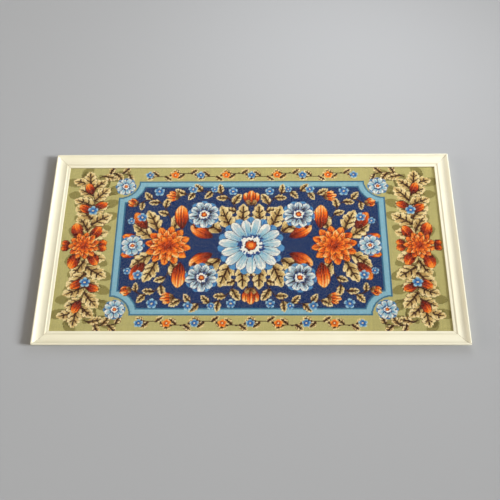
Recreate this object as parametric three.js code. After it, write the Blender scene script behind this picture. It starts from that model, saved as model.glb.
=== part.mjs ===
// A wide needlepoint canvas in a cream painted wooden frame, lying face up.
// Millimetres, +Z up out of the face, origin at the middle of the back on the surface it lies on.
import * as THREE from 'three';

// Driving dimensions of the frame
const FRAME_WIDTH = 1300;
const FRAME_HEIGHT = 696;
const MOULDING_WIDTH = 48;
const RIM_HEIGHT = 24;
const JOINT_GAP = 0.3;

// Moulding section, as distances in from the outer edge and heights above the back
const SIDE_UNDERCUT = 9;
const SIDE_TOP = 19;
const RIM_CREST = 3.2;
const RIM_INNER = 6.4;
const RIM_INNER_HEIGHT = 22.3;
const RIDGE = 36;
const RIDGE_HEIGHT = 17.2;
const STEP_FOOT = 40;
const LIP_HEIGHT = 15.4;
const LIP_ROUND = 1.2;
const REBATE_DEPTH = 10;
const REBATE_HEIGHT = 12;

// The worked canvas
const CANVAS_THICKNESS = 2.6;
const CANVAS_TUCK = 8;

// Steps along each curve of the section
const CURVE_STEPS = 10;

const paintedWood = new THREE.MeshStandardMaterial({ color: 0xf1ead0, roughness: 0.42, metalness: 0 });
const needlework = new THREE.MeshStandardMaterial({ color: 0x5d6a6e, roughness: 0.95, metalness: 0 });

// The section of the moulding: X runs in from the outer edge, Y is height above the back.
function mouldingSection() {
  const section = new THREE.Shape();
  section.moveTo(SIDE_UNDERCUT, 0);
  section.lineTo(MOULDING_WIDTH - REBATE_DEPTH, 0);
  section.lineTo(MOULDING_WIDTH - REBATE_DEPTH, REBATE_HEIGHT);
  section.lineTo(MOULDING_WIDTH, REBATE_HEIGHT);
  section.lineTo(MOULDING_WIDTH, LIP_HEIGHT - LIP_ROUND);
  section.quadraticCurveTo(MOULDING_WIDTH, LIP_HEIGHT, MOULDING_WIDTH - LIP_ROUND, LIP_HEIGHT);
  section.lineTo(STEP_FOOT, LIP_HEIGHT);
  // the step up to the ridge
  const stepFace = (RIDGE + STEP_FOOT) / 2;
  section.bezierCurveTo(stepFace + 1, LIP_HEIGHT, stepFace, RIDGE_HEIGHT + 0.4, RIDGE, RIDGE_HEIGHT);
  // the scoop, steepest under the rim and lowest a little past half way
  section.bezierCurveTo(RIDGE - 12, RIDGE_HEIGHT - 3.6, RIM_INNER + 5.6, 15.6, RIM_INNER, RIM_INNER_HEIGHT);
  // the round rim and the side that leans back under it
  section.quadraticCurveTo(RIM_INNER - 0.8, RIM_HEIGHT, RIM_CREST, RIM_HEIGHT);
  section.quadraticCurveTo(0, RIM_HEIGHT, 0, SIDE_TOP);
  section.closePath();
  return section;
}

// One length of moulding along X with its outer edge on Y = 0 and its inner edge towards +Y.
// Both ends are cut at 45 degrees, half a joint gap short of the mitre.
function railGeometry(outerLength) {
  const geometry = new THREE.ExtrudeGeometry(mouldingSection(), {
    depth: 1,
    steps: 1,
    bevelEnabled: false,
    curveSegments: CURVE_STEPS,
  });
  const cutBack = (JOINT_GAP / 2) * Math.SQRT2;
  const points = geometry.attributes.position;
  for (let i = 0; i < points.count; i += 1) {
    const inset = points.getX(i);
    const height = points.getY(i);
    const end = points.getZ(i) * 2 - 1;
    points.setXYZ(i, end * (outerLength / 2 - inset - cutBack), inset, height);
  }
  geometry.computeVertexNormals();
  return geometry;
}

function rail(name, outerLength, x, y, turn) {
  const mesh = new THREE.Mesh(railGeometry(outerLength), paintedWood);
  mesh.name = name;
  mesh.position.set(x, y, 0);
  mesh.rotation.z = turn;
  return mesh;
}

function frame() {
  const group = new THREE.Group();
  group.add(
    rail('frame_bottom', FRAME_WIDTH, 0, -FRAME_HEIGHT / 2, 0),
    rail('frame_right', FRAME_HEIGHT, FRAME_WIDTH / 2, 0, Math.PI / 2),
    rail('frame_top', FRAME_WIDTH, 0, FRAME_HEIGHT / 2, Math.PI),
    rail('frame_left', FRAME_HEIGHT, -FRAME_WIDTH / 2, 0, -Math.PI / 2),
  );
  return group;
}

// The canvas is flat, and lies just under the lip, which covers its edges.
function canvas() {
  const width = FRAME_WIDTH - 2 * (MOULDING_WIDTH - CANVAS_TUCK);
  const height = FRAME_HEIGHT - 2 * (MOULDING_WIDTH - CANVAS_TUCK);
  const mesh = new THREE.Mesh(new THREE.BoxGeometry(width, height, CANVAS_THICKNESS), needlework);
  mesh.name = 'canvas';
  mesh.position.z = REBATE_HEIGHT - JOINT_GAP - CANVAS_THICKNESS / 2;
  return mesh;
}

const panel = new THREE.Group();
panel.add(frame(), canvas());

export default panel;
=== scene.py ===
"""A wide needlepoint canvas in a cream painted frame, lying face up on a pale floor.

Every tent stitch is a small mesh of its own, worked from a chart that the functions below draw.
Metres, +Z up out of the needlepoint's face, +Y to the picture's top edge. The chart is drawn in millimetres.
"""
import math

import bpy
import numpy as np
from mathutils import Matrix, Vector


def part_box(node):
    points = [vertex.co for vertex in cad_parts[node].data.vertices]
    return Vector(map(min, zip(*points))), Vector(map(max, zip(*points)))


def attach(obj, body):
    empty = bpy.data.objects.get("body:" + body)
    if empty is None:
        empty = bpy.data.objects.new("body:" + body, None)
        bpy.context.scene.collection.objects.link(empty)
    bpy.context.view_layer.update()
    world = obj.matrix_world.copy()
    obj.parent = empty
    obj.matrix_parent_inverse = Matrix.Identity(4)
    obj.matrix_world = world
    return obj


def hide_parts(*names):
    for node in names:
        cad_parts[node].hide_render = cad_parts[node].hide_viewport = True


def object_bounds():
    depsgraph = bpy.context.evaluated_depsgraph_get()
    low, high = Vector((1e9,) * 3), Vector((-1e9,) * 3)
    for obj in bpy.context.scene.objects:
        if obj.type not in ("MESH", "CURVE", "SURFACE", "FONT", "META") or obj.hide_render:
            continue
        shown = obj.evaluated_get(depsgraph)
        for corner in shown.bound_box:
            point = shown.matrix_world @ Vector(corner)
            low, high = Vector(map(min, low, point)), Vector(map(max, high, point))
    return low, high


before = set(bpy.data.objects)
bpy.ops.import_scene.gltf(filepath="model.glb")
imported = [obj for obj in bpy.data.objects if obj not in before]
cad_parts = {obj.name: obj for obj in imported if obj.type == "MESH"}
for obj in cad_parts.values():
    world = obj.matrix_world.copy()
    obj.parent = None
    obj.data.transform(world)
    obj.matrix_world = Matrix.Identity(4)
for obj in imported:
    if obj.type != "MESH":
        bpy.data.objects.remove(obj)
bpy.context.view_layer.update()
MM = 0.001

# Sizes that the frame gives
CANVAS_LOW, CANVAS_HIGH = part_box("canvas")
OUTER_LOW, OUTER_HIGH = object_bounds()
OUTER_W = OUTER_HIGH[0] - OUTER_LOW[0]
OUTER_H = OUTER_HIGH[1] - OUTER_LOW[1]

# The needlework: ten stitches to the inch, the outermost of them under the frame's lip
PITCH = 2.54
COLUMNS = 476
ROWS = 238
BANDS = 5

# The moulding's section, in from the outer edge and up from the back, in millimetres
MOULDING_WIDTH = 48
RIM_HEIGHT = 24
SIDE_UNDERCUT = 9
SIDE_TOP = 19
RIM_CREST = 3.2
RIM_INNER = 6.4
RIM_INNER_HEIGHT = 22.3
RIDGE = 36
RIDGE_HEIGHT = 17.2
STEP_FOOT = 40
LIP_HEIGHT = 15.4
LIP_ROUND = 1.2
REBATE_DEPTH = 10
REBATE_HEIGHT = 12
JOINT_GAP = 0.3

# Wool colours
WOOLS = {
    "olive": (194, 183, 118),
    "olive_leaf": (150, 138, 78),
    "olive_deep": (120, 108, 56),
    "navy": (30, 55, 102),
    "black": (20, 20, 30),
    "slate": (74, 80, 104),
    "grey": (140, 146, 160),
    "pearl": (206, 212, 212),
    "white": (246, 243, 230),
    "ice": (176, 207, 214),
    "pale_blue": (142, 188, 202),
    "sky": (88, 150, 196),
    "blue": (34, 100, 172),
    "deep_blue": (28, 66, 128),
    "teal": (58, 116, 146),
    "cream": (244, 222, 166),
    "straw": (222, 190, 122),
    "tan": (188, 152, 90),
    "brown": (128, 84, 44),
    "bark": (66, 34, 22),
    "maroon": (92, 20, 16),
    "rust": (162, 48, 20),
    "flame": (218, 82, 22),
    "orange": (246, 116, 24),
    "amber": (252, 160, 62),
    "peach": (252, 206, 136),
}
WOOL_ID = {name: number for number, name in enumerate(WOOLS)}

# Runs of wool from dark to light
CREAM_LEAF = ("bark", "brown", "tan", "straw", "cream")
CUP_LEAF = ("bark", "brown", "tan")
FIRE = ("maroon", "maroon", "rust", "rust", "flame", "orange", "amber", "peach")
EMBER = ("maroon", "maroon", "maroon", "rust", "rust", "flame", "orange", "amber")
GLOW = ("maroon", "rust", "flame", "orange", "amber")
BUTTON = ("maroon", "rust", "flame")
FROST = ("slate", "sky", "pale_blue", "ice", "pearl", "white")
DUSK = ("black", "deep_blue", "deep_blue", "blue", "sky")
MIST = ("black", "black", "black", "slate", "grey", "ice", "pearl", "white")
SHADOW = ("olive_deep", "olive_leaf", "olive_leaf")
BLUEBELL = ("deep_blue", "blue", "sky", "ice")
BERRY = ("rust", "orange", "amber")

# The four quarters of the panel: 1 is right or up, -1 is left or down
QUARTERS = ((1, 1), (1, -1), (-1, 1), (-1, -1))

# How far round a shape its stitches are looked for, as a share of its size
REACH = 1.2
# The smallest numbers that a share or a width may have, so that nothing is divided by zero
SMALL_SHARE = 1e-6
SMALL_WIDTH = 1e-3

# Outlines and stems, in millimetres
OUTLINE = 0.75 * PITCH
STEM_WIDTH = 4
STEM_STEPS = 80
VINE_WIDTH = 3.5

# How a branch's leaves open, in degrees, and how much they bend
OPENING = 48
OPENING_CHANGE = 13
LEAF_BEND = 0.1

RIBS = 3
FLORET_PETALS = 5

# The navy field: its half sizes, the radius of its scooped corners, its band and the band's two edge lines
FIELD_HALF_W = 432
FIELD_HALF_H = 246
FIELD_SCOOP = 64
BAND_WIDTH = 26
BAND_LINE = 5

# The vine along the top and bottom edges
VINE_BAYS = 8
VINE_BAY = 84
VINE_HEIGHT = 272
VINE_SWAY = 7

# Whole numbers that mix the keys of the fixed noise
KEY_MIX = 0x9E3779B9
PLACE_MIX = 0x1234567
FIRST_MIX = 2654435761
FIRST_SHIFT = 15
SECOND_MIX = 2246822519
SECOND_SHIFT = 13
# The largest that a mixed number can be
LARGEST = float(2 ** 32 - 1)


def noise(*keys):
    """A fixed number from 0 to 1 for each set of whole-number keys."""
    keys = [np.asarray(key) for key in keys]
    mixed = np.zeros(np.broadcast(*keys).shape, dtype=np.uint32)
    for place, key in enumerate(keys):
        key = key.astype(np.int64).astype(np.uint32)
        mixed = (mixed ^ (key + np.uint32(KEY_MIX + PLACE_MIX * place))) * np.uint32(FIRST_MIX)
        mixed ^= mixed >> np.uint32(FIRST_SHIFT)
        mixed = mixed * np.uint32(SECOND_MIX)
        mixed ^= mixed >> np.uint32(SECOND_SHIFT)
    return mixed / LARGEST


def uneven(amount, *keys):
    """A fixed number from -amount to amount for each set of whole-number keys."""
    return (noise(*keys) - 0.5) * 2 * amount


class Chart:
    """The wool of each stitch, with the stitches' places in millimetres from the panel's middle."""

    def __init__(self, x, y, wool):
        self.x, self.y, self.wool = x, y, wool

    def near(self, x, y, reach):
        """The part of the chart within reach of a point. Working on it works on the chart."""
        rows = np.flatnonzero(np.abs(self.y[:, 0] - y) < reach)
        columns = np.flatnonzero(np.abs(self.x[0] - x) < reach)
        if not len(rows) or not len(columns):
            return Chart(self.x[:0], self.y[:0], self.wool[:0])
        part = (slice(rows[0], rows[-1] + 1), slice(columns[0], columns[-1] + 1))
        return Chart(self.x[part], self.y[part], self.wool[part])

    def fill(self, mask, name):
        """Works the masked stitches in one wool."""
        self.wool[mask] = WOOL_ID[name]

    def shade(self, mask, tone, run):
        """Works the masked stitches in a run of wools, the darkest where tone is 0 and the lightest at 1."""
        ids = np.array([WOOL_ID[name] for name in run])
        step = np.clip((tone * len(run)).astype(int), 0, len(run) - 1)
        self.wool[mask] = ids[step][mask]


def blank_chart(name):
    """A chart worked all over in one wool."""
    column = (np.arange(COLUMNS) - (COLUMNS - 1) / 2) * PITCH
    row = (np.arange(ROWS) - (ROWS - 1) / 2) * PITCH
    x, y = np.meshgrid(column, row)
    return Chart(x, y, np.full(x.shape, WOOL_ID[name]))


def belly(s, rise, fall):
    """Half width along a petal, 0 at both ends and 1 at its widest."""
    widest = rise / (rise + fall)
    s = np.clip(s, SMALL_SHARE, 1 - SMALL_SHARE)
    return (s / widest) ** rise * ((1 - s) / (1 - widest)) ** fall


def along(chart, x, y, angle, length, bend):
    """Places of the stitches along a petal that starts at x, y, as a share of its length, and across it."""
    a = math.radians(angle)
    dx, dy = chart.x - x, chart.y - y
    s = (dx * math.cos(a) + dy * math.sin(a)) / length
    t = -dx * math.sin(a) + dy * math.cos(a) - bend * length * np.clip(s, 0, REACH) ** 2
    return s, t


def edge_share(t, half):
    """0 on a petal's middle line and 1 at its edge."""
    return np.abs(t) / np.maximum(half, SMALL_WIDTH)


def petal(chart, x, y, angle, length, width, run, seed, rise=0.9, fall=0.5, bend=0.0, hatch=0.22,
          start=0.0, rim=0.0, line=None):
    """A petal shaded from its root to its tip in long and short stitch.

    hatch is how uneven its strands are, rim lightens its edges, and line is the wool that outlines it.
    """
    chart = chart.near(x, y, length * REACH)
    s, t = along(chart, x, y, angle, length, bend)
    half = width / 2 * belly(s, rise, fall)
    inside = (s > start) & (s < 1) & (np.abs(t) < half)
    strand = np.round(t / PITCH)
    chart.shade(inside, s + uneven(hatch, strand, seed) + rim * (edge_share(t, half) - 0.5), run)
    if line:
        chart.fill(inside & (half - np.abs(t) < OUTLINE), line)


def ribbed_leaf(chart, x, y, angle, length, width, seed, bend=0.0):
    """A lobed leaf with a dark midrib and side ribs."""
    chart = chart.near(x, y, length * REACH)
    s, t = along(chart, x, y, angle, length, bend)
    rib_gap = length / (RIBS + 0.6)
    lobe = ((s * length - np.abs(t) * 0.8) / rib_gap) % 1.0
    half = width / 2 * belly(s, 0.62, 0.75) * (0.74 + 0.34 * np.sin(np.pi * lobe))
    inside = (s > 0) & (s < 1) & (np.abs(t) < half)
    edge = edge_share(t, half)
    # lighter towards its edge and its tip, and darker on one side of the midrib
    strand = np.round((s * length - np.abs(t)) / PITCH)
    tone = 0.42 + 0.5 * edge + 0.24 * s + uneven(0.15, strand, t > 0, seed) - 0.14 * (t > 0)
    chart.shade(inside, tone, CREAM_LEAF)
    side_rib = inside & ((lobe < 0.2) | (lobe > 0.88)) & (edge < 0.74) & (s < 0.85)
    chart.fill(side_rib, "brown")
    chart.fill(side_rib & ((lobe < 0.16) | (lobe > 0.94)), "bark")
    midrib = np.abs(t) < 0.6 * PITCH + 2.4 * (1 - s)
    chart.fill(inside & midrib & (s < 0.86), "bark")
    chart.fill(inside & (t < 0) & (half - np.abs(t) < OUTLINE) & (s < 0.7), "brown")


def curve_through(points):
    """Places along a smooth curve through a few points."""
    points = np.array(points, float)
    knots = np.linspace(0, 1, len(points))
    steps = np.linspace(0, 1, STEM_STEPS)
    order = len(points) - 1
    return np.stack([np.polyval(np.polyfit(knots, points[:, k], order), steps) for k in (0, 1)], 1)


def stem(chart, points, width=STEM_WIDTH):
    """A curved stem through a few points."""
    for x, y in curve_through(points):
        spot = chart.near(x, y, width)
        spot.fill(np.hypot(spot.x - x, spot.y - y) < width / 2, "bark")


def branch(chart, points, gap, draw, length, width, side, seed, taper=0.25, **more):
    """A stem with leaves or petals on alternate sides, gap apart, smaller towards its end."""
    line = curve_through(points)
    way = np.diff(line, axis=0)
    gone = np.concatenate([[0], np.cumsum(np.hypot(way[:, 0], way[:, 1]))])
    stem(chart, points)
    for number, distance in enumerate(np.arange(gap / 2, gone[-1], gap)):
        place = min(np.searchsorted(gone, distance), len(way) - 1)
        heading = math.degrees(math.atan2(way[place, 1], way[place, 0]))
        size = (1 - taper * distance / gone[-1]) * (0.9 + 0.25 * noise(number, seed, 5))
        opening = OPENING + uneven(OPENING_CHANGE, number, seed, 6)
        draw(chart, *line[place], heading + side * opening, length * size, width * size,
             bend=LEAF_BEND * side, seed=seed + number, **more)
        side = -side


def quarters(points):
    """The points in each quarter of the panel, with 1 where the quarter isn't mirrored and -1 where it is."""
    for across, up in QUARTERS:
        yield [(across * x, up * y) for x, y in points], across * up


def fours(draw, chart, x, y, angle, *sizes, bend=0.0, **more):
    """Draws a leaf or petal in all four quarters of the panel, mirrored in both middle lines."""
    for across, up in QUARTERS:
        turned = angle if across > 0 else 180 - angle
        draw(chart, across * x, up * y, up * turned, *sizes, bend=bend * across * up, **more)


def leafy_branches(chart, rows):
    """Branches of ribbed leaves in all four quarters."""
    for first_points, gap, length, width, seed in rows:
        for points, side in quarters(first_points):
            branch(chart, points, gap, ribbed_leaf, length, width, side=side, seed=seed)


def autumn_leaves(chart, rows, runs, seed):
    """Orange leaves in all four quarters, in the runs of wool by turns."""
    for number, (x, y, angle, length, width, bend) in enumerate(rows):
        run = runs[number % len(runs)]
        fours(petal, chart, x, y, angle, length, width, run, rise=0.8, fall=0.6, bend=bend,
              seed=seed + number, line="maroon")


def disc(chart, x, y, radius, run, seed):
    """A round bud, lit from the upper left."""
    chart = chart.near(x, y, radius * REACH)
    dx, dy = chart.x - x, chart.y - y
    speckle = uneven(0.05, np.round(dx / PITCH), np.round(dy / PITCH), seed)
    chart.shade(np.hypot(dx, dy) < radius, 0.55 + (0.25 * dy - 0.2 * dx) / radius + speckle, run)


def spiked_disc(chart, x, y, radius, name, spike, spikes, seed):
    """A disc with a ragged edge of long and short spikes."""
    chart = chart.near(x, y, (radius + spike) * REACH)
    dx, dy = chart.x - x, chart.y - y
    spoke = np.round(np.arctan2(dy, dx) / (2 * np.pi) * spikes) % spikes
    chart.fill(np.hypot(dx, dy) < radius + uneven(spike, spoke, seed), name)


def eye(chart, x, y, radius, seed):
    """The heart of a pale flower: white spikes round a red and orange middle."""
    rings = (
        # size, wool, length of the spikes, how many
        (1.28, "deep_blue", 0.22, 40),
        (1.00, "white", 0.20, 44),
        (0.62, "maroon", 0.08, 20),
        (0.48, "flame", 0.06, 16),
        (0.26, "amber", 0.00, 8),
    )
    for number, (size, name, spike, spikes) in enumerate(rings):
        spiked_disc(chart, x, y, radius * size, name, radius * spike, spikes, seed + number)


def aster(chart, x, y, radius, petals, turn, seed, front=FROST):
    """A round pale flower: dark petals behind, and light ones in front laid alternately under and over."""
    width = 2 * math.pi * radius / petals
    for k in range(petals):
        petal(chart, x, y, turn + 360 * (k + 0.5) / petals, radius, width * 0.8, DUSK,
              rise=1.3, fall=0.5, seed=seed * 37 + k, hatch=0.16)
    for k in (*range(0, petals, 2), *range(1, petals, 2)):
        length = radius * (0.9 if k % 2 == 0 else 0.96)
        petal(chart, x, y, turn + 360 * k / petals, length, width * 0.74, front,
              rise=1.5, fall=0.45, seed=seed * 31 + k, hatch=0.2, start=0.1, rim=0.3, line="slate")
    eye(chart, x, y, radius * 0.30, seed)


def dahlia(chart, x, y, radius, turn, seed, petals=12):
    """An orange flower of three rings of pointed petals."""
    rings = (
        # size, petals, wools, turn in petals, outline
        (1.0, petals, EMBER, 0.0, "maroon"),
        (0.78, petals, FIRE, 0.5, "maroon"),
        (0.5, petals - 3, GLOW, 0.2, "rust"),
    )
    for number, (size, count, run, shift, line) in enumerate(rings):
        length = radius * size
        for k in range(count):
            petal(chart, x, y, turn + 360 * (k + shift) / count, length, length * 4.75 / count, run,
                  rise=1.25, fall=0.62, seed=seed * 53 + number * 17 + k, hatch=0.2, rim=0.15, line=line)
    disc(chart, x, y, radius * 0.16, BUTTON, seed)


def tulip(chart, x, y, angle, length, width, seed, bend=0.0):
    """A closed flower of three petals in a small cup of leaves."""
    for tilt, size in ((22, 0.9), (-22, 0.9), (0, 1.0)):
        petal(chart, x, y, angle + tilt, length * size, width * 0.55, FIRE, rise=0.8, fall=0.55, bend=bend,
              seed=seed + tilt, hatch=0.25, line="maroon")
    for tilt in (38, -38):
        petal(chart, x, y, angle + tilt, length * 0.42, width * 0.3, CUP_LEAF, seed=seed + 7)


def floret(chart, x, y, size, run, seed):
    """A small flower with one petal straight up and a cream heart."""
    for k in range(FLORET_PETALS):
        petal(chart, x, y, 90 + 360 * k / FLORET_PETALS, size, size * 0.78, run, rise=1.0, fall=0.4,
              seed=seed + k, hatch=0.1)
    spot = chart.near(x, y, size)
    spot.fill(np.hypot(spot.x - x, spot.y - y) < size * 0.22, "cream")


def field_depth(chart):
    """How far in from the navy field's outline each stitch lies. The field's corners are scooped out."""
    from_right, from_top = FIELD_HALF_W - np.abs(chart.x), FIELD_HALF_H - np.abs(chart.y)
    straight_in = np.minimum(from_right, from_top)
    return np.minimum(straight_in, np.hypot(from_right, from_top) - FIELD_SCOOP)


def work_grounds(chart):
    """The olive border with its shadow leaves, and the navy field in its light blue band."""
    shadow_stems = ([(540, -20), (520, 110), (560, 262)], [(500, 20), (490, 120), (462, 262)])
    for number, first_points in enumerate(shadow_stems):
        for points, side in quarters(first_points):
            branch(chart, points, 27, petal, 62, 34, run=SHADOW, side=side, rise=0.7, fall=0.6, taper=0,
                   seed=number * 40)
    depth = field_depth(chart)
    chart.fill(depth > 0, "navy")
    chart.fill((depth > 0) & (depth < BAND_WIDTH), "teal")
    chart.fill((depth > BAND_LINE) & (depth < BAND_WIDTH - BAND_LINE), "pale_blue")


def work_end_sprays(chart):
    """Ribbed leaves in brown and orange leaves, round an orange flower at each end."""
    branches = (
        # points, gap, length and width of the leaves, seed
        ([(532, 20), (508, 130), (528, 238)], 23, 76, 50, 3),
        ([(500, 262), (452, 280), (396, 272)], 22, 44, 27, 20),
    )
    leafy_branches(chart, branches)
    fours(ribbed_leaf, chart, 528, 226, 84, 62, 44, seed=11)
    autumn = (
        # x, y, angle, length, width, bend
        (540, 24, 62, 64, 40, 0.1),
        (512, 22, 128, 58, 36, -0.1),
        (570, 6, 10, 30, 24, 0.0),
        (488, 6, 170, 34, 26, 0.0),
        (510, 128, 20, 52, 32, 0.1),
        (512, 140, 150, 50, 30, 0.1),
        (516, 196, 55, 48, 30, 0.1),
    )
    autumn_leaves(chart, autumn, (EMBER,), seed=30)
    for (place,), _ in quarters([(511, 132)]):
        floret(chart, *place, 17, BLUEBELL, seed=44)
    for side in (1, -1):
        dahlia(chart, side * 528, 0, 50, petals=11, turn=15 * side, seed=5)


def work_edges(chart):
    """A vine along the top and bottom edges, and a blue flower in each scooped corner."""
    leaves = (
        # how far along from the bay's middle, angle
        (-24, 152),
        (-12, -140),
        (8, 38),
        (22, -34),
    )
    for side in (1, -1):
        y = side * VINE_HEIGHT
        for k in range(VINE_BAYS):
            x = (k - (VINE_BAYS - 1) / 2) * VINE_BAY
            up = side * (1 if k % 2 else -1)
            stem(chart, [(x - VINE_BAY / 2, y), (x, y + up * VINE_SWAY), (x + VINE_BAY / 2, y)], VINE_WIDTH)
            for offset, angle in leaves:
                ribbed_leaf(chart, x + offset, y + up * 4, angle * up, 32, 20, seed=k + 20)
            floret(chart, x - VINE_BAY / 2, y, 14, BERRY if k % 2 else BLUEBELL, seed=k + 60)
        floret(chart, VINE_BAYS / 2 * VINE_BAY, y, 14, BLUEBELL, seed=70)
        for x in (412, -412):
            aster(chart, x, side * 226, 34, 8, turn=22.5, seed=9)


def work_field(chart):
    """The bouquet on the navy field, its leaves and branches first and its flowers over them."""
    branches = (
        # points, gap, length and width of the leaves, seed
        ([(40, 80), (96, 196), (236, 186)], 30, 46, 28, 40),
        ([(250, 70), (300, 168), (372, 150)], 30, 40, 25, 60),
    )
    leafy_branches(chart, branches)
    for points, _ in quarters([(0, 100), (10, 150), (0, 176)]):
        stem(chart, points)
    fours(tulip, chart, 232, 184, 8, 46, 40, seed=2)
    fours(tulip, chart, 366, 154, 24, 38, 34, seed=5)
    for up in (1, -1):
        tulip(chart, 0, up * 150, up * 90, 60, 56, seed=8)
    ribbed = (
        # x, y, angle, length, width, bend
        (60, 60, 62, 96, 54, 0.1),
        (96, 50, 38, 100, 54, -0.1),
        (28, 74, 92, 84, 46, 0.0),
        (250, 60, 118, 84, 48, 0.1),
        (296, 56, 70, 84, 48, -0.1),
        (310, 30, 30, 82, 46, 0.1),
    )
    for number, (x, y, angle, length, width, bend) in enumerate(ribbed):
        fours(ribbed_leaf, chart, x, y, angle, length, width, bend=bend, seed=number + 70)
    autumn = (
        # x, y, angle, length, width, bend
        (120, 30, 24, 84, 44, 0.1),
        (130, 70, 60, 80, 42, -0.1),
        (176, 60, 96, 86, 44, 0.1),
        (330, 60, 50, 76, 40, 0.1),
        (220, 60, 84, 92, 46, 0.05),
        (346, 20, 8, 64, 36, 0.1),
    )
    autumn_leaves(chart, autumn, (FIRE, EMBER), seed=90)
    florets = (
        # x, y, size
        (190, 214, 15),
        (300, 206, 17),
        (60, 206, 15),
        (350, 106, 16),
        (384, 92, 12),
        (120, 214, 12),
    )
    for number, (x, y, size) in enumerate(florets):
        for (place,), _ in quarters([(x, y)]):
            floret(chart, *place, size, BLUEBELL, seed=number + 15)
    for side in (1, -1):
        dahlia(chart, side * 262, 0, 73, turn=8 * side, seed=side + 3)
        for up in (1, -1):
            aster(chart, side * 152, up * 116, 52, 9, turn=10 * side, front=MIST, seed=4)
        aster(chart, side * 374, 0, 38, 8, turn=22.5, seed=6)
    aster(chart, 0, 0, 106, 15, turn=6, seed=1)


def worked_chart():
    """The whole design."""
    chart = blank_chart("olive")
    work_grounds(chart)
    work_end_sprays(chart)
    work_edges(chart)
    work_field(chart)
    return chart


# Materials

# Colours of the canvas, the paint and the wood
# The canvas's hole colour is painted shade: the dark seen in the holes between its threads
CANVAS_HOLE_SHADE = (120, 104, 72)
CANVAS_THREAD = (214, 200, 164)
PAINT_PALE = (249, 244, 222)
PAINT_WARM = (240, 229, 196)
# The grime colour is real dirt at the mitres, and painted shade in the moulding's creases, under its lip and
# on its undercut side
GRIME_AND_SHADE = (168, 146, 102)
WOOD_DARK = (150, 112, 70)
WOOD_PALE = (206, 172, 120)

# Sockets of a node that mixes colours
MIX_FACTOR = 0
MIX_FIRST = 6
MIX_SECOND = 7
MIX_RESULT = 2

# How many radians a wave texture turns in one unit of its scaled length
WAVE_TURN = 20


def to_linear(rgb):
    """Linear light from screen colours of 0 to 255."""
    rgb = np.asarray(rgb, float) / 255
    return np.where(rgb <= 0.04045, rgb / 12.92, ((rgb + 0.055) / 1.055) ** 2.4)


def socket_colour(rgb):
    """A screen colour as a socket or a ramp takes it."""
    return (*to_linear(rgb), 1)


def new_material(name, **settings):
    """A material with its shader's own settings. Returns it with its node tree and its shader."""
    material = bpy.data.materials.new(name)
    material.use_nodes = True
    tree = material.node_tree
    shader = tree.nodes["Principled BSDF"]
    for socket, value in settings.items():
        shader.inputs[socket.replace("_", " ")].default_value = value
    return material, tree, shader


def node(tree, kind, inputs=None, **settings):
    """Adds a node. An input is a value, or another node's output to link."""
    made = tree.nodes.new(kind)
    for key, value in settings.items():
        setattr(made, key, value)
    for key, value in (inputs or {}).items():
        if isinstance(value, bpy.types.NodeSocket):
            tree.links.new(value, made.inputs[key])
        else:
            made.inputs[key].default_value = value
    return made


def mixed_colour(tree, first, second, factor, **settings):
    """The first colour where factor is 0 and the second where it is 1."""
    inputs = {MIX_FIRST: first, MIX_SECOND: second, MIX_FACTOR: factor}
    return node(tree, "ShaderNodeMix", inputs, data_type="RGBA", **settings).outputs[MIX_RESULT]


def colour_times(tree, colour, factor):
    """A colour made lighter or darker by a number."""
    grey = node(tree, "ShaderNodeCombineColor", {"Red": factor, "Green": factor, "Blue": factor})
    return mixed_colour(tree, colour, grey.outputs[0], 1.0, blend_type="MULTIPLY")


def spread(tree, value, low, high):
    """Maps 0 to 1 onto low to high."""
    return node(tree, "ShaderNodeMapRange", {"Value": value, "To Min": low, "To Max": high}).outputs[0]


def noise_texture(tree, place, scale, detail, distortion=0.0):
    """The value of a noise texture at a place."""
    inputs = {"Vector": place, "Scale": scale, "Detail": detail, "Distortion": distortion}
    return node(tree, "ShaderNodeTexNoise", inputs).outputs[0]


def two_values(tree, operation, first, second, **settings):
    """Two values added, multiplied or compared."""
    return node(tree, "ShaderNodeMath", {0: first, 1: second}, operation=operation, **settings).outputs[0]


def two_tones(tree, value, dark, dark_up_to, light, light_from):
    """The dark colour up to one value and the light colour from another, with a blend between."""
    ramp = node(tree, "ShaderNodeValToRGB", {"Fac": value})
    for stop, rgb, position in zip(ramp.color_ramp.elements, (dark, light), (dark_up_to, light_from)):
        stop.color = socket_colour(rgb)
        stop.position = position
    return ramp.outputs[0]


def relief(tree, height, strength, distance, over=None, **settings):
    """The normal that a height gives, over another relief if there is one."""
    inputs = {"Height": height, "Strength": strength, "Distance": distance}
    if over is not None:
        inputs["Normal"] = over
    return node(tree, "ShaderNodeBump", inputs, **settings).outputs[0]


def wool_material(name):
    """Two-ply wool, its colour from the mesh, with the ply's twist and a matt fibre."""
    material, tree, shader = new_material(name, Roughness=0.92, Specular_IOR_Level=0.1, Sheen_Weight=0.1,
                                          Sheen_Roughness=0.5)
    place = node(tree, "ShaderNodeTexCoord").outputs["Object"]
    wool = node(tree, "ShaderNodeVertexColor", layer_name="wool").outputs[0]
    fibre = noise_texture(tree, place, 1800.0, 2.0)
    twist = node(tree, "ShaderNodeTexWave", {"Vector": place, "Scale": 260.0, "Distortion": 1.5,
                                             "Detail Scale": 3.0}, bands_direction="Y").outputs["Fac"]
    height = two_values(tree, "ADD", twist, fibre)
    tree.links.new(colour_times(tree, wool, spread(tree, fibre, 0.86, 1.12)), shader.inputs["Base Color"])
    tree.links.new(relief(tree, height, 0.35, 0.0003), shader.inputs["Normal"])
    return material


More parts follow.
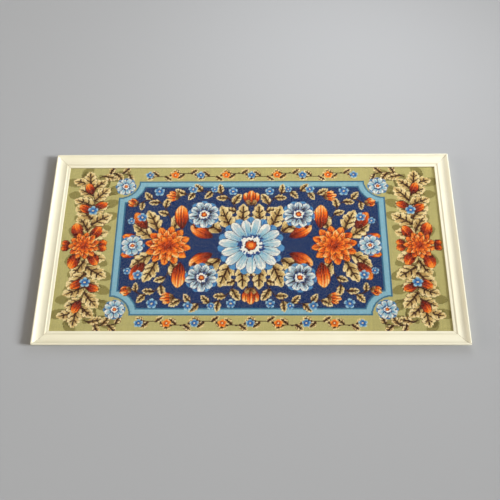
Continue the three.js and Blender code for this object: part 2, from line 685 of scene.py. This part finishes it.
def canvas_material():
    """The bare cotton canvas: an even open weave of ecru threads, with painted shade in the holes between
    them.
    """
    material, tree, shader = new_material("ecru_canvas", Roughness=0.85, Specular_IOR_Level=0.2)
    place = node(tree, "ShaderNodeTexCoord").outputs["Object"]
    scale = 2 * math.pi / (WAVE_TURN * PITCH * MM)
    inputs = {"Vector": place, "Scale": scale}
    along_x, along_y = (
        node(tree, "ShaderNodeTexWave", inputs, bands_direction=axis).outputs["Fac"] for axis in ("X", "Y")
    )
    weave = two_values(tree, "MAXIMUM", along_x, along_y)
    # the threads' colour, with painted shade in the holes between them
    threads = two_tones(tree, weave, CANVAS_HOLE_SHADE, 0.25, CANVAS_THREAD, 0.6)
    tree.links.new(threads, shader.inputs["Base Color"])
    tree.links.new(relief(tree, weave, 0.6, 0.0005), shader.inputs["Normal"])
    return material


def paint_material():
    """Cream satin paint, brushed along the rail, darkened with painted shade in its creases and under its
    lip, dirty at the mitres and worn at the edges.
    """
    material, tree, shader = new_material("cream_paint", Specular_IOR_Level=0.5)
    rail_map = node(tree, "ShaderNodeUVMap", uv_map="rail").outputs[0]
    strokes = node(tree, "ShaderNodeMapping", {"Vector": rail_map, "Scale": (5.0, 620.0, 1.0)}).outputs[0]
    brush = noise_texture(tree, strokes, 1.0, 4.0, 0.25)
    place = node(tree, "ShaderNodeTexCoord").outputs["Object"]
    cloud = noise_texture(tree, place, 7.0, 3.0)
    shade_and_age = node(tree, "ShaderNodeVertexColor", layer_name="shade_and_age").outputs[0]
    shade_dirt_and_wear = node(tree, "ShaderNodeSeparateColor", {"Color": shade_and_age}).outputs
    # painted shade in the creases, under the lip and on the undercut side, and real dirt at the mitres,
    # darken the paint towards the grime colour
    dirt_and_shade = two_values(tree, "MULTIPLY", shade_dirt_and_wear["Red"], spread(tree, cloud, 0.3, 1.1), use_clamp=True)
    clean = mixed_colour(tree, socket_colour(PAINT_PALE), socket_colour(PAINT_WARM), cloud)
    grimed_and_shaded = mixed_colour(tree, clean, socket_colour(GRIME_AND_SHADE), dirt_and_shade)
    chip_spots = noise_texture(tree, place, 150.0, 4.0)
    chip_height = two_values(tree, "ADD", chip_spots, shade_dirt_and_wear["Green"])
    chip_edge = {"Value": chip_height, "From Min": 1.13, "From Max": 1.16}
    chip = node(tree, "ShaderNodeMapRange", chip_edge).outputs[0]
    worn = mixed_colour(tree, grimed_and_shaded, socket_colour(WOOD_DARK), chip)
    tree.links.new(colour_times(tree, worn, spread(tree, brush, 0.95, 1.03)), shader.inputs["Base Color"])
    tree.links.new(spread(tree, brush, 0.3, 0.56), shader.inputs["Roughness"])
    brushed = relief(tree, brush, 0.5, 0.0006)
    tree.links.new(relief(tree, chip, 0.6, 0.0005, over=brushed, invert=True), shader.inputs["Normal"])
    return material


def wood_material():
    """The bare softwood of the frame's back and rebate, its grain along the rail."""
    material, tree, shader = new_material("bare_wood", Roughness=0.75, Specular_IOR_Level=0.25)
    rail_map = node(tree, "ShaderNodeUVMap", uv_map="rail").outputs[0]
    lengthwise = node(tree, "ShaderNodeMapping", {"Vector": rail_map, "Scale": (5.0, 260.0, 1.0)}).outputs[0]
    grain = noise_texture(tree, lengthwise, 1.0, 5.0, 0.6)
    tree.links.new(two_tones(tree, grain, WOOD_DARK, 0.36, WOOD_PALE, 0.62), shader.inputs["Base Color"])
    tree.links.new(relief(tree, grain, 0.3, 0.0004), shader.inputs["Normal"])
    return material


# Needlework

STITCH_LIFT = 1.05 * MM
STITCH_FOOT = CANVAS_HIGH[2] - STITCH_LIFT - 0.1 * MM
STITCH_SLANT = math.radians(45)
STITCH_HALF_LENGTH = 1.95 * MM
STITCH_HALF_WIDTH = 1.08 * MM

# How uneven the stitches are: their slant, their place, and shares of their length, width and height
SLANT_CHANGE = math.radians(5)
PLACE_CHANGE = 0.09 * MM
LENGTH_CHANGE = 0.05
WIDTH_CHANGE = 0.09
LIFT_CHANGE = 0.09

# One tent stitch: its two ends, and left, top and right at a third and at two thirds of its length.
# Along the stitch in half lengths, across it in half widths, height in lifts.
STITCH = np.array([
    (-1.0, 0.0, -0.10),
    (-0.45, -1.0, 0.30), (-0.45, 0.0, 0.98), (-0.45, 1.0, 0.30),
    (0.45, -1.0, 0.30), (0.45, 0.0, 1.00), (0.45, 1.0, 0.30),
    (1.0, 0.0, -0.10),
])
STITCH_FACES = np.array([
    (0, 1, 2), (0, 2, 3), (1, 4, 5), (1, 5, 2), (2, 5, 6), (2, 6, 3), (4, 7, 5), (5, 7, 6),
])
# Where the eight points lie in the stitch's own cell of the colour map
STITCH_CELL = np.array([
    (0.04, 0.5), (0.3, 0.04), (0.3, 0.5), (0.3, 0.96), (0.7, 0.04), (0.7, 0.5), (0.7, 0.96), (0.96, 0.5),
])
MAP_FOLDS = 3

# The canvas under the stitches: its grid in stitches, the strip at its edges, and how far its two faces lie
# below the stitches' feet and above the back
SHEET_STEP = 3
SHEET_EDGE = 6 * MM
SHEET_BELOW = 0.05 * MM
SHEET_ABOVE = 0.5 * MM
RIPPLE = 0.25 * MM


def ripple(x, y):
    """The slight unevenness of a canvas held only at its edges."""
    wave = np.sin(x * 17 + 1.3 * np.sin(y * 11)) * np.cos(y * 19 + 0.8) + 0.6 * np.sin(x * 41 + y * 23)
    return RIPPLE * (wave / 1.6 - 1)


def add_object(name, data):
    """An object in the scene."""
    made = bpy.data.objects.new(name, data)
    bpy.context.scene.collection.objects.link(made)
    return made


def mesh_from_arrays(name, points, triangles, materials):
    """A smooth mesh object of triangles, from arrays."""
    mesh = bpy.data.meshes.new(name)
    mesh.vertices.add(len(points))
    mesh.vertices.foreach_set("co", points.astype(np.float32).ravel())
    mesh.loops.add(triangles.size)
    mesh.loops.foreach_set("vertex_index", triangles.astype(np.int32).ravel())
    mesh.polygons.add(len(triangles))
    mesh.polygons.foreach_set("loop_start", np.arange(0, triangles.size, 3, dtype=np.int32))
    mesh.polygons.foreach_set("use_smooth", np.ones(len(triangles), dtype=bool))
    mesh.update(calc_edges=True)
    for material in materials:
        mesh.materials.append(material)
    return add_object(name, mesh)


def paint_points(mesh, name, colours):
    """Stores one linear colour for each point."""
    layer = mesh.color_attributes.new(name, "FLOAT_COLOR", "POINT")
    rgba = np.ones((len(colours), 4), np.float32)
    rgba[:, : colours.shape[1]] = colours
    layer.data.foreach_set("color", rgba.ravel())


def store_map(mesh, name, uv):
    """Stores one place on a map for each point."""
    corners = np.empty(len(mesh.loops), np.int32)
    mesh.loops.foreach_get("vertex_index", corners)
    layer = mesh.uv_layers.new(name=name)
    layer.data.foreach_set("uv", uv[corners].astype(np.float32).ravel())


def wool_tones(chart):
    """The linear colour of every stitch, with the small changes of hand-dyed strands and of the hand."""
    table = to_linear(list(WOOLS.values()))
    colour = table[chart.wool]
    row, column = np.indices(chart.wool.shape)
    stitch = 1 + uneven(0.05, row, column, 1)
    strand = 1 + uneven(0.05, (row + 5 * column) // 21, column, chart.wool, 2)
    length = 1 + uneven(0.025, row, (column + 31 * row) // 60, chart.wool, 3)
    return colour * (stitch * strand * length)[..., None]


def stitch_band(name, rows, chart, tones, wool):
    """One mesh with the stitches of some rows of the chart."""
    row, column = (a.ravel() for a in np.meshgrid(rows, np.arange(COLUMNS), indexing="ij"))
    x, y = chart.x[row, column] * MM, chart.y[row, column] * MM

    def wobble(key, amount):
        return uneven(amount, row, column, key)

    slant = STITCH_SLANT + wobble(11, SLANT_CHANGE)
    cos, sin = np.cos(slant)[:, None], np.sin(slant)[:, None]
    length = STITCH_HALF_LENGTH * (1 + wobble(12, LENGTH_CHANGE))[:, None] * STITCH[:, 0]
    width = STITCH_HALF_WIDTH * (1 + wobble(13, WIDTH_CHANGE))[:, None] * STITCH[:, 1]
    lift = STITCH_LIFT * (1 + wobble(16, LIFT_CHANGE))[:, None] * STITCH[:, 2]
    points = np.empty((len(x), len(STITCH), 3))
    points[..., 0] = (x + wobble(14, PLACE_CHANGE))[:, None] + length * cos - width * sin
    points[..., 1] = (y + wobble(15, PLACE_CHANGE))[:, None] + length * sin + width * cos
    points[..., 2] = STITCH_FOOT + ripple(x, y)[:, None] + lift
    triangles = (np.arange(len(x)) * len(STITCH))[:, None, None] + STITCH_FACES
    band = mesh_from_arrays(name, points.reshape(-1, 3), triangles.reshape(-1, 3), [wool])
    paint_points(band.data, "wool", np.repeat(tones[row, column], len(STITCH), axis=0))

    # The colour map is the band folded into three, a cell for each stitch
    fold_width = math.ceil(COLUMNS / MAP_FOLDS)
    across = (column % fold_width)[:, None] + STITCH_CELL[:, 0]
    up = (column // fold_width * len(rows) + row - rows[0])[:, None] + STITCH_CELL[:, 1]
    uv = np.stack([across / fold_width, up / (len(rows) * MAP_FOLDS)], axis=-1)
    store_map(band.data, "OFBake", uv.reshape(-1, 2))
    return band


def sheet_lines(axis, stitches):
    """Where the sheet's grid has its lines: its edges, just inside them, and at some of the stitches."""
    low, high = CANVAS_LOW[axis], CANVAS_HIGH[axis]
    edges = [low, low + SHEET_EDGE, high - SHEET_EDGE, high]
    return np.unique(np.concatenate([edges, stitches[::SHEET_STEP] * MM]))


def grid_faces(across, up, first=0, flip=False):
    """Triangles of a grid of points, across points wide and up points high."""
    corner = (np.arange(up - 1)[:, None] * across + np.arange(across - 1)).ravel() + first
    a, b, c, d = corner, corner + 1, corner + across + 1, corner + across
    faces = np.concatenate([np.stack([a, b, c], 1), np.stack([a, c, d], 1)])
    return faces[:, ::-1] if flip else faces


def wall_faces(across, up):
    """Triangles between the edges of two such grids, one after the other."""
    count = across * up
    rim = np.concatenate([
        np.arange(across),
        np.arange(1, up) * across + across - 1,
        (up - 1) * across + np.arange(across - 2, -1, -1),
        np.arange(up - 2, 0, -1) * across,
    ])
    after = np.roll(rim, -1)
    return np.concatenate([
        np.stack([rim + count, after + count, after], 1),
        np.stack([rim + count, after, rim], 1),
    ])


def nearest_stitch(places, count):
    """The number of the stitch nearest to each place, in a line of count stitches."""
    return np.clip(np.round(places / (PITCH * MM) + (count - 1) / 2).astype(int), 0, count - 1)


def canvas_sheet(chart, tones, materials):
    """The canvas under the stitches, a closed sheet. Its back shows the wool's wrong side."""
    x, y = np.meshgrid(sheet_lines(0, chart.x[0]), sheet_lines(1, chart.y[:, 0]))
    up, across = x.shape
    wave = ripple(x, y)
    top = np.stack([x, y, STITCH_FOOT - SHEET_BELOW + wave], -1).reshape(-1, 3)
    bottom = np.stack([x, y, CANVAS_LOW[2] + SHEET_ABOVE + wave * 0.5], -1).reshape(-1, 3)
    count = len(top)
    bottom_faces = grid_faces(across, up, count, flip=True)
    faces = np.concatenate([grid_faces(across, up), wall_faces(across, up), bottom_faces])
    sheet = mesh_from_arrays("canvas_sheet", np.concatenate([top, bottom]), faces, materials)
    middle = np.abs(bottom[bottom_faces - count].mean(axis=1))
    worked = (middle[:, 0] < COLUMNS * PITCH * MM / 2) & (middle[:, 1] < ROWS * PITCH * MM / 2)
    slots = np.zeros(len(faces), np.int32)
    slots[-len(bottom_faces):][worked] = 1
    sheet.data.polygons.foreach_set("material_index", slots)
    wool = tones[nearest_stitch(y, ROWS), nearest_stitch(x, COLUMNS)].reshape(-1, 3)
    paint_points(sheet.data, "wool", np.concatenate([wool, wool]))
    return sheet


# Frame

RAIL_STATIONS = 33
SHARP_ANGLE = math.radians(38)
# The frame's rounded corners and eased mitres, in millimetres
CORNER_RADIUS = 4
CORNER_REACH = 8
MITRE_EASE = 0.35
END_RINGS = (0.7, 1.6, 2.8, CORNER_RADIUS)
# How dirty the mitres are, and how worn the arrises are along the rail and, on top of that, at its ends
MITRE_DIRT = 0.6
WEAR_ALONG = 0.6
WEAR_AT_ENDS = 0.3


def curve(*controls, steps):
    """Points on a quadratic or cubic Bezier curve, without its first one."""
    controls = np.array(controls, float)
    t = np.linspace(0, 1, steps + 1)[1:, None]
    if len(controls) == 3:
        a, b, c = controls
        return (1 - t) ** 2 * a + 2 * t * (1 - t) * b + t ** 2 * c
    a, b, c, d = controls
    return (1 - t) ** 3 * a + 3 * t * (1 - t) ** 2 * b + 3 * t ** 2 * (1 - t) * c + t ** 3 * d


def straight(start, end, steps):
    """Points on a straight line, without its first one."""
    t = np.linspace(0, 1, steps + 1)[1:, None]
    return np.array(start) + (np.array(end) - np.array(start)) * t


def moulding_section():
    """The section's points in millimetres, and whether each is bare wood, how much painted shade darkens it
    and how worn.
    """
    wall = MOULDING_WIDTH - REBATE_DEPTH
    step_face = (RIDGE + STEP_FOOT) / 2
    back_outside = (SIDE_UNDERCUT, 0)
    back_inside = (wall, 0)
    rebate_top = (wall, REBATE_HEIGHT)
    lip_under = (MOULDING_WIDTH, REBATE_HEIGHT)
    lip_side = (MOULDING_WIDTH, LIP_HEIGHT - LIP_ROUND)
    lip_corner = (MOULDING_WIDTH, LIP_HEIGHT)
    lip_top = (MOULDING_WIDTH - LIP_ROUND, LIP_HEIGHT)
    step_foot = (STEP_FOOT, LIP_HEIGHT)
    ridge = (RIDGE, RIDGE_HEIGHT)
    rim_inside = (RIM_INNER, RIM_INNER_HEIGHT)
    rim_crest = (RIM_CREST, RIM_HEIGHT)
    side_top = (0, SIDE_TOP)
    # the pulls that bend the step, the scoop and the rim
    step_pulls = (step_face + 1, LIP_HEIGHT), (step_face, RIDGE_HEIGHT + 0.4)
    scoop_pulls = (RIDGE - 12, RIDGE_HEIGHT - 3.6), (RIM_INNER + 5.6, 15.6)
    rim_pull = (RIM_INNER - 0.8, RIM_HEIGHT)
    # The lip's face over the canvas, the step's crease and the undercut outer side are darkened with painted
    # shade
    parts = (
        # points, bare wood, painted shade, wear
        (straight(back_outside, back_inside, 4), 1, 0, 0),
        (straight(back_inside, rebate_top, 2), 1, 0, 0),
        (straight(rebate_top, lip_under, 2), 1, 0, 0),
        (straight(lip_under, lip_side, 2), 0, 0.5, 0),
        (curve(lip_side, lip_corner, lip_top, steps=5), 0, 0, 0.3),
        (straight(lip_top, step_foot, 4), 0, 0, 0),
        (curve(step_foot, *step_pulls, ridge, steps=10), 0, 0.3, 0),
        (curve(ridge, *scoop_pulls, rim_inside, steps=22), 0, 0, 0),
        (curve(rim_inside, rim_pull, rim_crest, steps=6), 0, 0, 0.35),
        (curve(rim_crest, (0, RIM_HEIGHT), side_top, steps=8), 0, 0, 0.5),
        (straight(side_top, back_outside, 5), 0, 0.15, 0.1),
    )
    points = np.concatenate([p for p, _, _, _ in parts])
    flags = np.concatenate([np.full((len(p), 3), (bare, dirt_and_shade, wear)) for p, bare, dirt_and_shade, wear in parts])
    return points, flags[:, 0], flags[:, 1], flags[:, 2]


def inward(points, depth):
    """The section shrunk by depth all round."""
    before, after = np.roll(points, 1, axis=0), np.roll(points, -1, axis=0)
    tangent = after - before
    tangent /= np.linalg.norm(tangent, axis=1)[:, None]
    return points + np.stack([-tangent[:, 1], tangent[:, 0]], 1) * depth


def corner_pull(distance):
    """How far in the rounded corner pulls the frame's outer edge, at a distance from the mitre."""
    turned = min(distance / CORNER_RADIUS, 1) * math.sqrt(0.5)
    return CORNER_RADIUS * (1 - math.sin(math.pi / 4 + math.asin(turned)))


def rail_rings(section):
    """The rail's rings of points: place from -1 to 1 along it, distance from the mitre, and outline."""
    ends = [(0.0, inward(section, MITRE_EASE))] + [(distance, section) for distance in END_RINGS]
    rings = [(-1, *end) for end in ends]
    rings += [(k, CORNER_RADIUS, section) for k in np.linspace(-1, 1, RAIL_STATIONS)[1:-1]]
    rings += [(1, *end) for end in reversed(ends)]
    return rings


def rail_points(rings, outer_length):
    """The points of a rail along X in metres, ring by ring, and how far along it each lies on its map."""
    cut_back = JOINT_GAP / 2 * math.sqrt(2)
    points, lengthwise = [], []
    for end, distance, outline in rings:
        inset, height = outline[:, 0], outline[:, 1]
        side = SIDE_UNDERCUT * np.clip(1 - height / SIDE_TOP, 0, 1)
        pulled = inset + corner_pull(distance) * np.clip(1 - (inset - side) / CORNER_REACH, 0, 1)
        half = outer_length / MM / 2 - pulled - cut_back - distance
        points.append(np.stack([end * half, pulled, height], 1))
        lengthwise.append(np.full(len(outline), end * (outer_length / 2 - distance * MM)))
    return np.concatenate(points) * MM, np.concatenate(lengthwise)


def rail_faces(ring_count, bare):
    """The rail's faces, and the slot of each: 0 is painted and 1 is bare wood."""
    count = len(bare)
    faces, slots = [], []
    for ring in range(ring_count - 1):
        here, ahead = ring * count, (ring + 1) * count
        for k in range(count):
            following = (k + 1) % count
            faces.append((here + k, ahead + k, ahead + following, here + following))
            slots.append(int(bare[following] > 0))
    last = (ring_count - 1) * count
    faces.append(tuple(range(count)))
    faces.append(tuple(range(last + count - 1, last - 1, -1)))
    return faces, slots + [1, 1]


def rail(name, node_name, outer_length, place, turn, materials):
    """A mitred length of moulding, with its mitres eased and the frame's corners rounded."""
    section, bare, dirt_and_shade, wear = moulding_section()
    rings = rail_rings(section)
    points, lengthwise = rail_points(rings, outer_length)
    faces, slots = rail_faces(len(rings), bare)
    turned = np.stack([
        points[:, 0] * math.cos(turn) - points[:, 1] * math.sin(turn) + place[0],
        points[:, 0] * math.sin(turn) + points[:, 1] * math.cos(turn) + place[1],
        points[:, 2],
    ], 1)
    mesh = bpy.data.meshes.new(name)
    mesh.from_pydata([tuple(p) for p in turned], [], faces)
    for material in materials:
        mesh.materials.append(material)
    mesh.polygons.foreach_set("material_index", slots)
    mesh.polygons.foreach_set("use_smooth", np.ones(len(faces), dtype=bool))
    mesh.update()
    mesh.set_sharp_from_angle(angle=SHARP_ANGLE)

    # The map has the place along the rail, and the way round its section
    way = np.concatenate([[0], np.cumsum(np.linalg.norm(np.diff(section, axis=0), axis=1))]) * MM
    store_map(mesh, "rail", np.stack([lengthwise, np.tile(way, len(rings))], 1))
    near_end = np.abs(points[:, 0]) / (outer_length / 2)
    shade_and_age = np.zeros((len(points), 3))
    # Red: painted shade in the creases, under the lip and on the undercut side, and real dirt at the mitres.
    # Green: wear.
    shade_and_age[:, 0] = np.tile(dirt_and_shade, len(rings))
    shade_and_age[:, 1] = np.tile(wear, len(rings)) * (WEAR_ALONG + WEAR_AT_ENDS * near_end ** 8)
    shade_and_age[:len(section), 0] = shade_and_age[-len(section):, 0] = MITRE_DIRT
    paint_points(mesh, "shade_and_age", shade_and_age)
    made = add_object(name, mesh)
    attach(made, "root")
    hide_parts(node_name)
    return made


# Studio

FLOOR_SIZE = 200
FLOOR_COLOUR = (0.42, 0.42, 0.43, 1)

# Wide lights a long way off
LAMP_DISTANCE = 3
FAR_LIGHTS = (
    # name, degrees from the right towards the picture's top, degrees up, strength, degrees across, colour
    ("key", -15, 27, 3.9, 17, (0.96, 1.0, 1.02)),
    ("left", 180, 15, 1.3, 34, (1.0, 0.94, 0.86)),
)

# A near light over the top edge
NEAR_PLACE = (0.45, 0.85, 1.05)
NEAR_SIZE = 1.0
NEAR_POWER = 7.5
NEAR_COLOUR = (0.96, 1.0, 1.04)

# The light from all round
ROOM_COLOUR = (1, 0.92, 0.8, 1)
ROOM_STRENGTH = 0.22

# The photo's camera, solved from the frame's corners
CAMERA_PLACE = (0.0537, -1.4658, 2.4322)
CAMERA_TURN = (30.89, 1.15, -0.11)
CAMERA_LENS = 64.8
CAMERA_SENSOR = 36


def aim(light, place):
    """Puts a light in the scene, turned towards the panel's middle."""
    lamp = add_object(light.name, light)
    lamp.location = place
    lamp.rotation_mode = "QUATERNION"
    lamp.rotation_quaternion = place.to_track_quat("Z", "Y")


def plain_floor():
    """A pale floor under the panel."""
    half = FLOOR_SIZE / 2
    corners = [(-half, -half, 0), (half, -half, 0), (half, half, 0), (-half, half, 0)]
    mesh = bpy.data.meshes.new("floor")
    mesh.from_pydata(corners, [], [(0, 1, 2, 3)])
    finish, _, _ = new_material("pale_floor", Base_Color=FLOOR_COLOUR, Roughness=0.9)
    mesh.materials.append(finish)
    floor = add_object("floor", mesh)


def studio():
    """A pale floor, wide soft lights on the right and the left, and a near one over the top edge."""
    plain_floor()
    for name, azimuth, elevation, strength, width, colour in FAR_LIGHTS:
        light = bpy.data.lights.new(name, "SUN")
        light.energy = strength
        light.angle = math.radians(width)
        light.color = colour
        turn, tilt = math.radians(azimuth), math.radians(elevation)
        place = (math.cos(turn) * math.cos(tilt), math.sin(turn) * math.cos(tilt), math.sin(tilt))
        aim(light, Vector(place) * LAMP_DISTANCE)
    near_light = bpy.data.lights.new("near", "AREA")
    near_light.size = NEAR_SIZE
    near_light.energy = NEAR_POWER
    near_light.color = NEAR_COLOUR
    aim(near_light, Vector(NEAR_PLACE))
    world = bpy.data.worlds.new("studio")
    world.use_nodes = True
    backdrop = world.node_tree.nodes["Background"]
    backdrop.inputs["Color"].default_value = ROOM_COLOUR
    backdrop.inputs["Strength"].default_value = ROOM_STRENGTH
    bpy.context.scene.world = world
    bpy.context.scene.view_settings.view_transform = "Standard"


def photo_camera():
    """The photo's own view: from the bottom edge's side, 31 degrees off the face's normal."""
    camera = bpy.data.cameras.new("camera")
    camera.sensor_width = CAMERA_SENSOR
    camera.lens = CAMERA_LENS
    holder = add_object("camera", camera)
    holder.location = CAMERA_PLACE
    holder.rotation_mode = "ZYX"
    holder.rotation_euler = [math.radians(a) for a in CAMERA_TURN]
    bpy.context.scene.camera = holder


photo_camera()
studio()

chart = worked_chart()
tones = wool_tones(chart)
wool = wool_material("wool")
bands = [
    stitch_band(f"stitches_{number + 1}", rows, chart, tones, wool)
    for number, rows in enumerate(np.array_split(np.arange(ROWS), BANDS))
]
sheet = canvas_sheet(chart, tones, [canvas_material(), wool_material("wool_back")])
for piece in (*bands, sheet):
    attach(piece, "root")
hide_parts("canvas")

rail_finish = [paint_material(), wood_material()]
rails = [
    rail("rail_bottom", "frame_bottom", OUTER_W, (0, -OUTER_H / 2), 0, rail_finish),
    rail("rail_right", "frame_right", OUTER_H, (OUTER_W / 2, 0), math.pi / 2, rail_finish),
    rail("rail_top", "frame_top", OUTER_W, (0, OUTER_H / 2), math.pi, rail_finish),
    rail("rail_left", "frame_left", OUTER_H, (-OUTER_W / 2, 0), -math.pi / 2, rail_finish),
]
